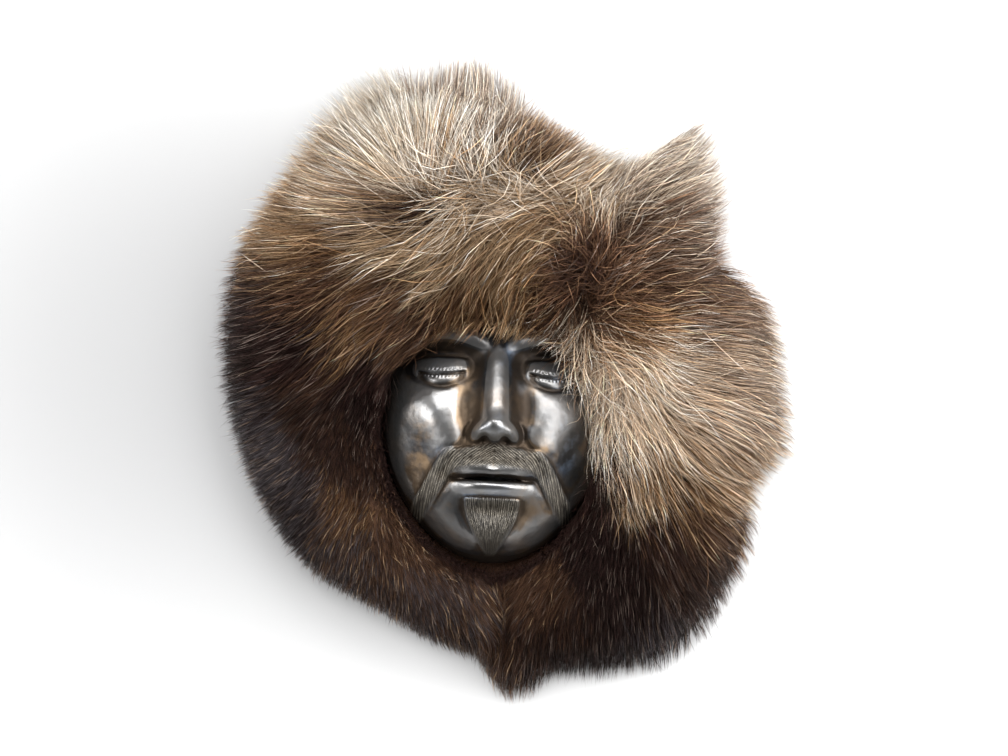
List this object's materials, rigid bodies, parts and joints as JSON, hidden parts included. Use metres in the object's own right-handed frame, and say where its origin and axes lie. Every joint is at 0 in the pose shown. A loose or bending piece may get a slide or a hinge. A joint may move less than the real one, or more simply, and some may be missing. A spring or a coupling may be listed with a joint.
{
  "type": "fur-lined pottery mask",
  "caption": "Life-size hollow pottery face mask with a dark lustre glaze, set in a thick ruff of brown and cream hair-on hide.",
  "frame": {"origin": "on the surface the mask lies on, under the middle of its outline seen from above", "axes": "+Z out of the face, +Y towards the top of the head, +X towards the viewer's right"},
  "size_m": [0.3261, 0.3593, 0.0935],
  "materials": {
    "lustre_glaze": "dark pewter lustre glaze with brown and blue tints, burnished on the high places",
    "fur": "long hair-on hide, cream at the crown, brown at the brow and sides, nearly black at the foot"
  },
  "bodies": {
    "root": {"pottery_face": "lustre_glaze", "fur_ruff": "fur"}
  },
  "joints": []
}
